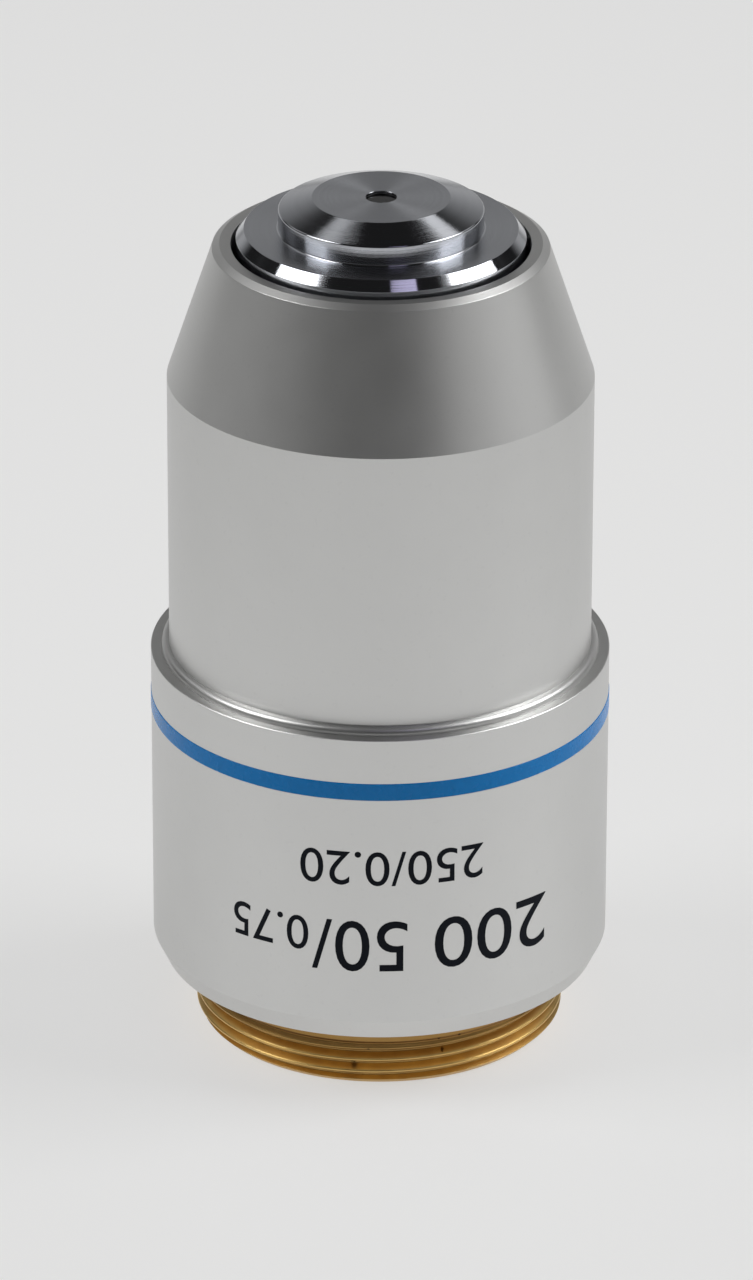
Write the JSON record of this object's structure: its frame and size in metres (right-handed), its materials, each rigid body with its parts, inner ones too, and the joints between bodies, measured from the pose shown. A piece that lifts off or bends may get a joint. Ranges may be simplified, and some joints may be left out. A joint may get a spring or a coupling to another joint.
{
  "type": "microscope objective",
  "caption": "Plan microscope objective: stepped satin barrel with a conical end, blue colour band, spring-loaded polished nose and a brass mounting thread.",
  "frame": {"origin": "on the optical axis, in the plane of the shoulder that seats on the microscope", "axes": "+Z along the optical axis from the shoulder to the nose; the thread hangs below the shoulder; the guide screw is on +X"},
  "size_m": [0.025, 0.025, 0.0481],
  "materials": {
    "thread_brass": "turned and lacquered brass",
    "satin_chrome": "satin chrome plate over fine blasting",
    "band_blue": "smooth blue enamel",
    "polished_nose": "turned and polished",
    "black_brass": "matt black oxide on brass",
    "plain_brass": "fine turned brass",
    "bright_steel": "drawn steel",
    "crown_glass": "polished and coated",
    "flint_glass": "polished and coated"
  },
  "bodies": {
    "housing": {"thread_mount": "thread_brass", "marked_sleeve": "satin_chrome", "colour_band": "band_blue", "nose_housing": "satin_chrome", "spring_washer": "bright_steel", "return_spring": "bright_steel", "guide_screw": "bright_steel", "rear_stop_ring": "black_brass"},
    "lens_unit": {"lens_tube": "plain_brass", "stop_collar": "plain_brass", "parfocal_shim": "plain_brass", "front_cell": "polished_nose", "front_lens": "crown_glass", "centring_screws": "bright_steel", "meniscus_cell": "black_brass", "meniscus_lens": "flint_glass", "meniscus_ring": "black_brass", "front_doublet_cell": "black_brass", "front_doublet_crown": "crown_glass", "front_doublet_flint": "flint_glass", "front_doublet_ring": "black_brass", "rear_doublet_cell": "black_brass", "rear_doublet_crown": "crown_glass", "rear_doublet_flint": "flint_glass", "rear_doublet_ring": "black_brass", "rear_lens_cell": "black_brass", "rear_lens_crown": "crown_glass", "rear_lens_flint": "flint_glass", "rear_lens_ring": "black_brass", "front_spacer": "black_brass", "middle_spacer": "black_brass", "aperture_stop": "black_brass", "rear_spacer": "black_brass", "retaining_ring": "black_brass"}
  },
  "joints": [
    {"name": "nose_slide", "type": "slide", "parent": "housing", "child": "lens_unit", "axis": [0, 0, 1], "range_m": [-0.002, 0], "stiffness_N_per_m": 120, "springref_m": 0.012, "deforming": ["return_spring"]}
  ]
}
